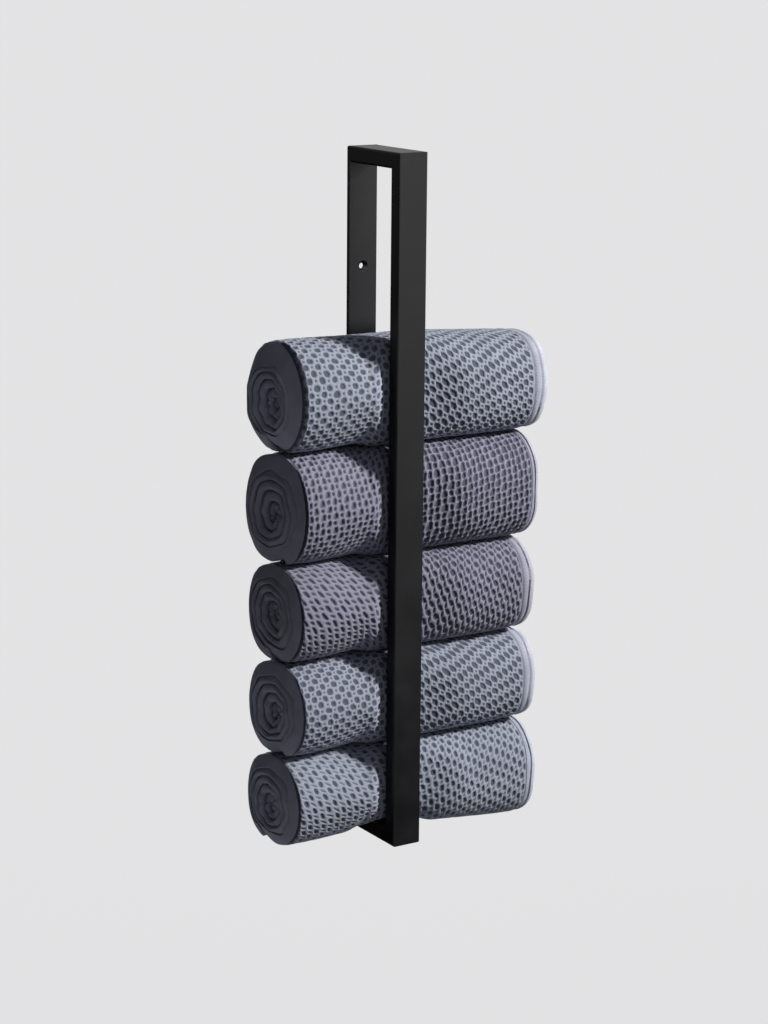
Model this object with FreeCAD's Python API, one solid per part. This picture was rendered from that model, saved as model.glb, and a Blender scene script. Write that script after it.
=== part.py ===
# Upright towel bar for a wall: a closed loop of coated steel that grips a stack of rolled towels.
# X runs along the wall, +Y points into the wall and +Z is up. The origin is on the wall, at the
# middle of the plate's back face.
import FreeCAD, Part
import math
import os

# Steel loop, millimetres
frame_height = 650.0
frame_depth = 90.0  # from the wall to the front face of the front bar
tube_width = 30.0
tube_depth = 15.0
tube_wall = 1.5
tube_corner_radius = 2.0
plate_width = tube_width  # flush with the arms on both sides
plate_thickness = 5.0
plate_edge_radius = 1.0  # along the plate's long edges
plate_end_radius = 4.0  # where the back face turns into the plate's ends

# Wall screws
screw_hole_diameter = 5.5
screw_hole_inset = 111.0  # from each end of the plate to the middle of its hole
countersink_diameter = 10.5
countersink_angle = 90.0

# Rolled towels, the top one first
roll_1_height = 101.0
roll_2_height = 103.0
roll_3_height = 92.0
roll_4_height = 90.0
roll_5_height = 78.0
roll_1_offset = 15.0  # middle of the roll, right of the bar's middle
roll_2_offset = 10.0
roll_3_offset = 10.0
roll_4_offset = 10.5
roll_5_offset = 12.0
roll_length = 278.0
border_width = 14.0  # plain band that finishes each long edge of the cloth
cloth_length = 850.0  # what is wound up in one roll
room_side_ends = [2, 4]  # rolls whose loose end lies on the room side instead of the wall side
turn_gap = 0.5  # between one turn of the cloth and the next
core_radius = 1.0  # least inside radius of the innermost bend
roll_clearance = 0.3  # round a roll, to the steel and to the next roll

front_y = -frame_depth
bar_back_y = front_y + tube_depth
plate_front_y = -plate_thickness
top_z = frame_height / 2
bottom_z = -frame_height / 2
roll_heights = [roll_1_height, roll_2_height, roll_3_height, roll_4_height, roll_5_height]
roll_offsets = [roll_1_offset, roll_2_offset, roll_3_offset, roll_4_offset, roll_5_offset]


def vector(x, y, z):
    return FreeCAD.Vector(x, y, z)


def rounded_rectangle(width, depth, radius):
    """A closed wire round the origin of the XY plane, with a quarter arc at each corner."""
    corners = [(1, 1), (-1, 1), (-1, -1), (1, -1)]
    if radius <= 0:
        points = [vector(sx * width / 2, sy * depth / 2, 0) for sx, sy in corners]
        return Part.makePolygon(points + points[:1])
    arcs = []
    for quarter, (sx, sy) in enumerate(corners):
        middle = vector(sx * (width / 2 - radius), sy * (depth / 2 - radius), 0)
        start = 90.0 * quarter
        arcs.append(Part.makeCircle(radius, middle, vector(0, 0, 1), start, start + 90.0))
    edges = []
    for arc, following in zip(arcs, arcs[1:] + arcs[:1]):
        edges.append(arc)
        edges.append(Part.makeLine(arc.Vertexes[1].Point, following.Vertexes[0].Point))
    return Part.Wire(edges)


def tube(length):
    """Rectangular tube that stands on the origin, its width along X and its depth along Y."""
    outside = Part.Face(rounded_rectangle(tube_width, tube_depth, tube_corner_radius))
    inside = Part.Face(
        rounded_rectangle(
            tube_width - 2 * tube_wall,
            tube_depth - 2 * tube_wall,
            tube_corner_radius - tube_wall,
        )
    )
    return outside.cut(inside).extrude(vector(0, 0, length))


def wedge(points_yz):
    """Prism across the whole width of the tube, from a triangle of (y, z) points."""
    points = [vector(-tube_width, y, z) for y, z in points_yz]
    triangle = Part.Face(Part.makePolygon(points + points[:1]))
    return triangle.extrude(vector(2 * tube_width, 0, 0))


def front_bar():
    """The upright in front, mitred at both ends."""
    bar = tube(frame_height)
    bar.translate(vector(0, front_y + tube_depth / 2, bottom_z))
    for end_z, inward in ((top_z, -1), (bottom_z, 1)):
        inner_z = end_z + inward * tube_depth
        bar = bar.cut(wedge([(front_y, end_z), (bar_back_y, inner_z), (bar_back_y, end_z)]))
    return bar


def arm(end_z, inward):
    """The level tube from the bar's mitre to the plate, at the loop's top or bottom end."""
    level = tube(plate_front_y - front_y)
    level.rotate(vector(0, 0, 0), vector(1, 0, 0), -90)
    level.translate(vector(0, front_y, end_z + inward * tube_depth / 2))
    inner_z = end_z + inward * tube_depth
    return level.cut(wedge([(front_y, end_z), (front_y, inner_z), (bar_back_y, inner_z)]))


def screw_hole(z):
    """Tool for one hole through the plate, countersunk from the front."""
    radius = screw_hole_diameter / 2
    mouth = countersink_diameter / 2
    sink = (mouth - radius) / math.tan(math.radians(countersink_angle / 2))
    into_wall = vector(0, 1, 0)
    shank = Part.makeCylinder(radius, plate_thickness, vector(0, plate_front_y, z), into_wall)
    cone = Part.makeCone(mouth, radius, sink, vector(0, plate_front_y, z), into_wall)
    return shank.fuse(cone)


def wall_plate():
    """Flat bar against the wall, its back face turned over a radius at both ends."""
    section = Part.Face(rounded_rectangle(plate_width, plate_thickness, plate_edge_radius))
    blank = section.extrude(vector(0, 0, frame_height))
    blank.translate(vector(0, -plate_thickness / 2, bottom_z))
    turn = min(plate_end_radius, plate_thickness)
    bend = turn * (1 - math.sqrt(0.5))
    edge_x = -plate_width / 2
    low_front = vector(edge_x, plate_front_y, bottom_z)
    low_start = vector(edge_x, -turn, bottom_z)
    low_end = vector(edge_x, 0, bottom_z + turn)
    high_end = vector(edge_x, 0, top_z - turn)
    high_start = vector(edge_x, -turn, top_z)
    high_front = vector(edge_x, plate_front_y, top_z)
    low_bend = Part.Arc(low_start, vector(edge_x, -bend, bottom_z + bend), low_end)
    high_bend = Part.Arc(high_end, vector(edge_x, -bend, top_z - bend), high_start)
    outline = [low_bend.toShape(), Part.makeLine(low_end, high_end), high_bend.toShape()]
    outline.append(Part.makeLine(high_front, low_front))
    if turn < plate_thickness:
        outline.append(Part.makeLine(low_front, low_start))
        outline.append(Part.makeLine(high_start, high_front))
    side = Part.Face(Part.Wire(Part.__sortEdges__(outline)))
    plate = blank.common(side.extrude(vector(plate_width, 0, 0)))
    for z in (top_z - screw_hole_inset, bottom_z + screw_hole_inset):
        plate = plate.cut(screw_hole(z))
    return plate


def roll_path(depth, height, pitch, inset):
    """One face of the wound cloth, from its loose end to the core, as edges in the YZ plane.

    The cloth starts low on the wall side and goes up, over the top and down the front. Each
    side lies a quarter pitch further in than the one before, and a tangent arc turns each corner.
    The half sizes take up those steps, so that the outer turn fills the depth and the height.
    A straight tail along the last upright side fills the core.
    """
    half_depth = depth / 2 + pitch / 4
    half_height = height / 2 + pitch / 2
    radius = min(half_depth, half_height) - pitch / 4
    thickness = pitch - turn_gap
    half_turns = int((radius - thickness - core_radius) / (pitch / 2) + 0.5)
    ways = [(1, 1), (-1, 1), (-1, -1), (1, -1)]  # (y, z) of the corner that ends each side

    def middle(corner):
        sy, sz = ways[corner % 4]
        level, upright = (corner + 1, corner) if corner % 2 == 0 else (corner, corner + 1)
        bend = radius - corner * pitch / 4
        y = sy * (half_depth - upright * pitch / 4 - bend)
        z = sz * (half_height - level * pitch / 4 - bend)
        return y, z

    edges = []
    low_z = middle(3)[1]
    last = vector(0, half_depth - inset, low_z)
    for corner in range(2 * half_turns):
        y, z = middle(corner)
        bend = radius - corner * pitch / 4 - inset
        start, half, end = [math.radians(90 * corner + turn) for turn in (0, 45, 90)]
        points = [
            vector(0, y + bend * math.cos(angle), z + bend * math.sin(angle))
            for angle in (start, half, end)
        ]
        edges.append(Part.makeLine(last, points[0]))
        edges.append(Part.Arc(*points).toShape())
        last = points[2]
    tail = 2 * (half_height - radius) - pitch / 4
    way = 1 if half_turns % 2 == 0 else -1
    edges.append(Part.makeLine(last, last + vector(0, 0, way * tail)))
    return edges


def roll_section(height):
    """Cross-section of one roll, round the origin of the YZ plane, as a strip wound on itself."""
    depth = plate_front_y - bar_back_y - 2 * roll_clearance
    least = min(depth, height)
    area = depth * height - (4 - math.pi) * least**2 / 4
    pitch = area / cloth_length
    outer = roll_path(depth, height, pitch, 0)
    inner = roll_path(depth, height, pitch, pitch - turn_gap)
    loose_end = Part.makeLine(outer[0].Vertexes[0].Point, inner[0].Vertexes[0].Point)
    core_end = Part.makeLine(outer[-1].Vertexes[-1].Point, inner[-1].Vertexes[-1].Point)
    section = Part.Face(Part.Wire(Part.__sortEdges__(outer + [core_end] + inner + [loose_end])))
    section.translate(vector(0, -pitch / 4, -pitch / 4))
    return section


def towels():
    """Every roll of the stack with its two plain borders, by node name."""
    pieces = {}
    middle_y = (plate_front_y + bar_back_y) / 2
    seat_z = bottom_z + tube_depth
    count = len(roll_heights)
    for number in range(count, 0, -1):
        height = roll_heights[number - 1]
        left_x = roll_offsets[number - 1] - roll_length / 2
        section = roll_section(height)
        if number in room_side_ends:
            section = section.mirror(vector(0, 0, 0), vector(0, 1, 0))
        section.translate(vector(left_x, middle_y, seat_z + roll_clearance + height / 2))
        lengths = {
            f"towel_{number}_left_border": border_width,
            f"towel_{number}_cloth": roll_length - 2 * border_width,
            f"towel_{number}_right_border": border_width,
        }
        for node, length in lengths.items():
            pieces[node] = section.extrude(vector(length, 0, 0))
            section.translate(vector(length, 0, 0))
        seat_z += roll_clearance + height
    return pieces


nodes = {
    "front_bar": front_bar(),
    "top_arm": arm(top_z, -1),
    "bottom_arm": arm(bottom_z, 1),
    "wall_plate": wall_plate(),
}
nodes.update(towels())

os.makedirs("parts", exist_ok=True)
for name, shape in nodes.items():
    shape.exportStep(f"parts/{name}.step")
    print(name, shape.ShapeType, "valid" if shape.isValid() else "not valid", f"{shape.Volume:.1f} mm3")
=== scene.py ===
"""Looks of the upright towel bar: a coated steel loop that grips five rolled, open-knit towels.

Sizes are in metres, in the frame of the solids: X along the wall, +Y into the wall and +Z up.
"""

import logging
import math
from dataclasses import dataclass
from enum import Enum
from typing import Any, NamedTuple

import bpy
import numpy as np
from mathutils import Matrix, Vector


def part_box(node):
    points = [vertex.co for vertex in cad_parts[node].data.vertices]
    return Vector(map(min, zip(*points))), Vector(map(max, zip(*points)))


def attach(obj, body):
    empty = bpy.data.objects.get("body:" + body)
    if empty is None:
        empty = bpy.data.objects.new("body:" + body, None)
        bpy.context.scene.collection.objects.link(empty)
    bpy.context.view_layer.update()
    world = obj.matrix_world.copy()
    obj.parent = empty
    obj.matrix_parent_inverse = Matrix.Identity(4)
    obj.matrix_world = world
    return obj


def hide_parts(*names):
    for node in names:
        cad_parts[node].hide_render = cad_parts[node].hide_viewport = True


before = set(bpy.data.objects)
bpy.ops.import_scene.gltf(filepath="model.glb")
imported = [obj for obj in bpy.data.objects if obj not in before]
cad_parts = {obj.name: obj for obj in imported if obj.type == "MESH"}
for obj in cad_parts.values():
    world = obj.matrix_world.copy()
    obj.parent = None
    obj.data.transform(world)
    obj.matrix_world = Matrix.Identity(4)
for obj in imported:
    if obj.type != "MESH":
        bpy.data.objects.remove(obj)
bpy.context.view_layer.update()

logging.basicConfig(level=logging.INFO, format="%(name)s: %(message)s")
LOG = logging.getLogger("towel_bar")

Triple = tuple[float, float, float]
Colour = Triple
Pair = tuple[float, float]
Array = np.ndarray
Material = bpy.types.Material
Node = bpy.types.Node
Socket = bpy.types.NodeSocket

TURN = 2.0 * math.pi
NOISE_SPAN = (0.3, 0.7)  # where nearly all values of a noise lie


class Shade(Enum):
    """Colour family of a towel, by the name that its material slots start with."""

    BLUE_GREY = "blue_grey"
    MAUVE = "mauve"


class End(Enum):
    """End of a roll, by its place in a pair of left and right values."""

    LEFT = 0
    RIGHT = 1

    @property
    def way(self) -> int:
        """Sign of its direction along X."""
        return 2 * self.value - 1

    @property
    def side(self) -> str:
        """Its word in the names of pieces."""
        return self.name.lower()


class Tuck(Enum):
    """Where a roll's loose end lies: its angle in degrees, and the way the cloth winds from there.

    Angles run from the room side, 0, over the top, 90, to the wall side, 180.
    """

    WALL_SIDE = (245.0, -1)
    UNDERSIDE = (262.0, -1)
    ROOM_SIDE = (-75.0, 1)

    def angle(self, theta: Array) -> Array:
        """Angle round the roll, in radians, of cloth that is wound by theta from its loose end."""
        start, way = self.value
        return math.radians(start) + way * theta


def ease(value: Array, start: float, end: float) -> Array:
    """Smooth step of a value: 0 up to the start, 1 from the end on, and level at both."""
    share = np.clip((value - start) / (end - start), 0.0, 1.0)
    return share * share * (3.0 - 2.0 * share)


def between(first: Any, second: Any, share: Any) -> Any:
    """Goes from the first value to the second as the share goes from 0 to 1."""
    return first + (second - first) * share


def running(steps: Array) -> Array:
    """Running total of the steps, with 0 before the first of them."""
    return np.concatenate([[0.0], np.cumsum(steps)])


def run_along(path: Array) -> Array:
    """Distance of each point of a path from its start."""
    return running(np.linalg.norm(np.diff(path, axis=0), axis=1))


class Graph:
    """A node tree that is filled node by node."""

    def __init__(self, tree: bpy.types.NodeTree) -> None:
        """Starts from an empty tree."""
        self.tree = tree
        tree.nodes.clear()

    @classmethod
    def of_material(cls, name: str) -> tuple["Graph", Material]:
        """Makes a material.

        Args:
            name: the material's name.

        Returns:
            The material's empty tree, and the material.
        """
        material = bpy.data.materials.new(name)
        material.use_nodes = True
        return cls(material.node_tree), material

    @classmethod
    def of_group(cls, name: str, inputs: dict[str, Any], outputs: dict[str, str]) -> "Graph":
        """Makes a shader node group with its sockets.

        Args:
            name: the group's name.
            inputs: default value of each input, by socket name; its type follows the value.
            outputs: socket type of each output, by socket name.

        Returns:
            The group's empty tree.
        """
        tree = bpy.data.node_groups.new(name, "ShaderNodeTree")
        kinds = {float: "NodeSocketFloat", tuple: "NodeSocketColor", Vector: "NodeSocketVector"}
        for socket, value in inputs.items():
            kind = kinds[type(value)]
            made = tree.interface.new_socket(socket, in_out="INPUT", socket_type=kind)
            made.default_value = (*value, 1.0) if isinstance(value, tuple) else value
        for socket, kind in outputs.items():
            tree.interface.new_socket(socket, in_out="OUTPUT", socket_type=kind)
        return cls(tree)

    def node(self, kind: str, inputs: dict[Any, Any] | None = None, **settings: Any) -> Node:
        """Adds a node.

        Args:
            kind: the node's type.
            inputs: value, or socket to link from, for each input by name or number; a colour is
                three numbers.
            settings: other properties of the node.

        Returns:
            The new node.
        """
        made = self.tree.nodes.new(kind)
        for key, value in settings.items():
            setattr(made, key, value)
        for key, value in (inputs or {}).items():
            inlet = made.inputs[key]
            if isinstance(value, Socket):
                self.tree.links.new(value, inlet)
            else:
                inlet.default_value = (*value, 1.0) if inlet.type == "RGBA" else value
        return made

    def place(self, group: "Graph", inputs: dict[str, Any]) -> Node:
        """Adds a copy of a node group, with a value or socket for its inputs."""
        return self.node("ShaderNodeGroup", inputs, node_tree=group.tree)

    def math(self, operation: str, first: Any, second: Any, clamp: bool = False) -> Socket:
        """Adds a Math node and returns its output."""
        inputs = {0: first, 1: second}
        return self.node("ShaderNodeMath", inputs, operation=operation, use_clamp=clamp).outputs[0]

    def dot(self, first: Socket, second: Triple) -> Socket:
        """Adds the dot product of two directions and returns it."""
        inputs = {0: first, 1: second}
        return self.node("ShaderNodeVectorMath", inputs, operation="DOT_PRODUCT").outputs["Value"]

    def mix(self, share: Any, first: Any, second: Any, blend: str = "MIX") -> Socket:
        """Adds a colour Mix node and returns its output."""
        inputs = {0: share, 6: first, 7: second}
        return self.node("ShaderNodeMix", inputs, data_type="RGBA", blend_type=blend).outputs[2]

    def tint(self, colour: Socket, factor: Socket) -> Socket:
        """Makes a colour lighter or darker by a factor and returns it."""
        grey = self.node("ShaderNodeCombineColor", {0: factor, 1: factor, 2: factor}).outputs[0]
        return self.mix(1.0, colour, grey, "MULTIPLY")

    def spread(self, value: Socket, span: Pair, onto: Pair = (0.0, 1.0)) -> Socket:
        """Adds a Map Range node that eases a value from one span onto another, and returns it."""
        inputs = {0: value, 1: span[0], 2: span[1], 3: onto[0], 4: onto[1]}
        return self.node("ShaderNodeMapRange", inputs, interpolation_type="SMOOTHSTEP").outputs[0]

    def noise(self, scale: Any, detail: float, roughness: float) -> Socket:
        """Adds a Noise node on the piece's own coordinates and returns its value."""
        where = self.node("ShaderNodeTexCoord").outputs["Object"]
        inputs = {"Vector": where, "Scale": scale, "Detail": detail, "Roughness": roughness}
        return self.node("ShaderNodeTexNoise", inputs).outputs[0]

    def attribute(self, name: str, output: str = "Fac") -> Socket:
        """Adds a node that reads an attribute of the mesh and returns its output."""
        return self.node("ShaderNodeAttribute", attribute_name=name).outputs[output]

    def bump(self, height: Socket, distance: float, strength: float) -> Socket:
        """Adds a Bump node and returns its normal."""
        inputs = {"Height": height, "Distance": distance, "Strength": strength}
        return self.node("ShaderNodeBump", inputs).outputs[0]

    def surface(self, inputs: dict[str, Any]) -> None:
        """Ends a material's tree with a Principled shader."""
        shader = self.node("ShaderNodeBsdfPrincipled", inputs)
        self.node("ShaderNodeOutputMaterial", {"Surface": shader.outputs[0]})


class Effects:
    """Shader effects that several finishes share, each built once as a node group."""

    def __init__(self) -> None:
        """Builds the groups."""
        self.drift = self._drift()
        self.fibre = self._fibre()

    @staticmethod
    def _drift() -> Graph:
        """Slow change of tone: a colour in, the same colour a little lighter or darker out."""
        graph = Graph.of_group(
            "tone_drift",
            {"Colour": (0.5, 0.5, 0.5), "Scale": 20.0, "Amount": 0.1},
            {"Colour": "NodeSocketColor"},
        )
        inlet = graph.node("NodeGroupInput").outputs
        mask = graph.spread(graph.noise(inlet["Scale"], detail=3.0, roughness=0.6), NOISE_SPAN)
        swing = graph.math("MULTIPLY", graph.math("SUBTRACT", mask, 0.5), inlet["Amount"])
        toned = graph.tint(inlet["Colour"], graph.math("ADD", swing, 1.0))
        graph.node("NodeGroupOutput", {"Colour": toned})
        return graph

    @staticmethod
    def _fibre() -> Graph:
        """Cotton yarn close up: twisted plies along the yarn and loose fibres over them."""
        slant, wobble, ply_height, fuzz_height = 0.7, 0.8, 0.9, 0.9
        graph = Graph.of_group(
            "cotton_fibre",
            {"Along": Vector((0.0, 0.0, 0.0)), "Ply": 0.0011, "Fuzz": 2600.0},
            {"Height": "NodeSocketFloat", "Mask": "NodeSocketFloat"},
        )
        inlet = graph.node("NodeGroupInput").outputs
        fuzz = graph.noise(inlet["Fuzz"], detail=2.0, roughness=0.7)
        parts = graph.node("ShaderNodeSeparateXYZ", {0: inlet["Along"]}).outputs
        slanted = graph.math("ADD", parts[0], graph.math("MULTIPLY", parts[1], slant))
        astray = graph.math("MULTIPLY", fuzz, graph.math("MULTIPLY", inlet["Ply"], wobble))
        turns = graph.math("DIVIDE", graph.math("ADD", slanted, astray), inlet["Ply"])
        plies = graph.math("MULTIPLY", graph.math("PINGPONG", turns, 0.5), ply_height)
        height = graph.math("ADD", plies, graph.math("MULTIPLY", fuzz, fuzz_height))
        graph.node("NodeGroupOutput", {"Height": height, "Mask": fuzz})
        return graph

    def toned(self, graph: Graph, colour: Socket, drift: Pair) -> Socket:
        """Places the slow change of tone in a material's tree and returns the changed colour."""
        inputs = {"Colour": colour, "Scale": drift[0], "Amount": drift[1]}
        return graph.place(self.drift, inputs).outputs["Colour"]


@dataclass(frozen=True)
class PowderCoat:
    """Matt black powder coat with a fine pebbled skin."""

    name: str = "black_powder_coat"
    colour: Colour = (0.0036, 0.0037, 0.0044)  # of the powder
    rub: Colour = (0.0062, 0.0064, 0.0072)  # colour of the faintly rubbed patches
    patch: float = 26.0  # patches in a metre
    patch_span: Pair = (0.48, 0.75)  # values of their noise between which they fade in
    drift: Pair = (9.0, 0.2)  # slow changes of tone in a metre, and how large they are
    roughness: float = 0.38  # how far the sheen spreads
    uneven: float = 0.05  # how far the roughness strays from that
    gloss: float = 0.5  # specular level
    pebble: float = 1400.0  # pebbles in a metre
    pebble_bump: Pair = (0.0002, 0.16)  # height of the pebbles, and how strongly they show

    def material(self, effects: Effects) -> Material:
        """Makes the finish.

        Args:
            effects: the shared node groups.

        Returns:
            The material.
        """
        graph, material = Graph.of_material(self.name)
        pebbles = graph.noise(self.pebble, detail=2.0, roughness=0.5)
        rubbed = graph.noise(self.patch, detail=4.0, roughness=0.62)
        colour = graph.mix(graph.spread(rubbed, self.patch_span), self.colour, self.rub)
        swing = graph.spread(rubbed, NOISE_SPAN, (-self.uneven, self.uneven))
        graph.surface({
            "Base Color": effects.toned(graph, colour, self.drift),
            "Roughness": graph.math("ADD", swing, self.roughness),
            "Specular IOR Level": self.gloss,
            "Normal": graph.bump(pebbles, *self.pebble_bump),
        })
        return material


COTTON = {
    "Roughness": 0.92,
    "Specular IOR Level": 0.12,
    "Sheen Weight": 0.12,
    "Sheen Roughness": 0.5,
}


@dataclass(frozen=True)
class KnitYarn:
    """Cotton yarn of the open knit."""

    name: str
    ridge: Colour  # colour of the yarn that stands proud
    hole_shade: Colour  # painted shade: dark colour in the bottom of a hole, standing in for the next layer lying in the dark
    slope: Pair = (0.12, 0.97)  # heights between which the yarn's colour turns into the painted hole shade
    speckle: Pair = (0.86, 1.12)  # darkest and lightest fibre, as factors
    drift: Pair = (16.0, 0.14)  # slow changes of tone in a metre, and how large they are
    fibre_bump: Pair = (0.0004, 0.55)  # height of the fibres, and how strongly they show

    def material(self, effects: Effects) -> Material:
        """Makes the finish.

        Args:
            effects: the shared node groups.

        Returns:
            The material, which reads the mesh's ridge and weave attributes.
        """
        graph, material = Graph.of_material(self.name)
        weave = graph.attribute("weave", "Vector")
        fibre = graph.place(effects.fibre, {"Along": weave}).outputs
        height = graph.spread(graph.attribute("ridge"), self.slope)
        # Painted shade: the lower the knit, the more of the dark hole colour it gets.
        yarn = graph.mix(height, self.hole_shade, self.ridge)
        yarn = graph.tint(yarn, graph.spread(fibre["Mask"], NOISE_SPAN, self.speckle))
        graph.surface({
            "Base Color": effects.toned(graph, yarn, self.drift),
            "Normal": graph.bump(fibre["Height"], *self.fibre_bump),
            **COTTON,
        })
        return material


@dataclass(frozen=True)
class PlainBand:
    """Close, fine-ribbed cotton of a towel's borders."""

    name: str
    band: Colour  # colour of the band
    rim: Colour  # colour of the raised rim along the edge, lighter than the band: partly the rim's own colour and partly a painted highlight along its lit edge
    rib: float = 0.0014  # distance from one rib to the next
    rib_shade: Pair = (0.82, 1.06)  # painted shade between the ribs and painted light on them, as factors on the colour
    ply: float = 0.6  # distance from one ply of the yarn to the next, as a share of a rib's
    fuzz: float = 2200.0  # loose fibres in a metre
    fibre: float = 0.5  # height of the fibres, as a share of the ribs'
    drift: Pair = (40.0, 0.2)  # slow changes of tone in a metre, and how large they are
    rib_bump: Pair = (0.0005, 0.6)  # height of the ribs, and how strongly they show

    def material(self, effects: Effects) -> Material:
        """Makes the finish.

        Args:
            effects: the shared node groups.

        Returns:
            The material, which reads the mesh's rim and weave attributes.
        """
        graph, material = Graph.of_material(self.name)
        weave = graph.attribute("weave", "Vector")
        inputs = {"Along": weave, "Ply": self.rib * self.ply, "Fuzz": self.fuzz}
        fibre = graph.place(effects.fibre, inputs).outputs["Height"]
        round_roll = graph.node("ShaderNodeSeparateXYZ", {0: weave}).outputs[1]
        ribs = graph.math("PINGPONG", graph.math("DIVIDE", round_roll, self.rib), 0.5)
        # The rim's lighter colour is partly a painted highlight.
        colour = graph.mix(graph.attribute("rim"), self.band, self.rim)
        # Painted shade between the ribs, painted light on their crests.
        colour = graph.tint(colour, graph.spread(ribs, (0.0, 0.5), self.rib_shade))
        height = graph.math("ADD", ribs, graph.math("MULTIPLY", fibre, self.fibre))
        graph.surface({
            "Base Color": effects.toned(graph, colour, self.drift),
            "Normal": graph.bump(height, *self.rib_bump),
            **COTTON,
        })
        return material


@dataclass(frozen=True)
class SteelLoop:
    """The welded loop of bar, arms and wall plate, which keep the shapes of their solids."""

    nodes: tuple[str, ...] = ("front_bar", "top_arm", "bottom_arm", "wall_plate")
    finish: PowderCoat = PowderCoat()  # the coat over all of them
    slot: str = "coated_steel"  # the record's slot name for that coat; not used

    def dress(self, effects: Effects) -> None:
        """Coats the pieces.

        Args:
            effects: the shared node groups.
        """
        coat = self.finish.material(effects)
        for name in self.nodes:
            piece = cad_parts[name]
            for place in piece.material_slots:
                place.material = coat
            LOG.info("%s coated", name)


@dataclass(frozen=True)
class HoleShape:
    """One hole of the knit, in shares of half its cell."""

    width: float  # half its width
    height: float  # half its height
    lean: float = 0.0  # how far its top lies to the left
    taper: float = 0.0  # how much wider it is at its bottom
    fall: float = 0.0  # fall of a flat hole towards the right
    depth: float = 1.0  # as a share of the knit's
    ramp: float = 0.15  # how much deeper it is on its right, from 0 to 1
    ramp_rise: float = 1.4  # how steeply that ramp rises
    slope: Pair = (0.60, 1.40)  # where its flank starts and ends, in shares of its half sizes

    def pit(self, aside: Array, down: Array) -> Array:
        """Depth of the hole.

        Args:
            aside: place in the cell, from -1 at its left to 1 at its right.
            down: place in the cell, from -1 at its top to 1 at its bottom.

        Returns:
            0 on the yarn to the hole's depth in its bottom.
        """
        level = (aside - self.lean * down) / (self.width * (1.0 + self.taper * down))
        upright = (down - self.fall * aside) / self.height
        bowl = 1.0 - ease(np.sqrt(level**2 + upright**2), *self.slope)
        ramp = 1.0 + self.ramp * np.clip(self.ramp_rise * level, -1.0, 1.0)
        return self.depth * bowl * (ramp / (1.0 + self.ramp))


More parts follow.
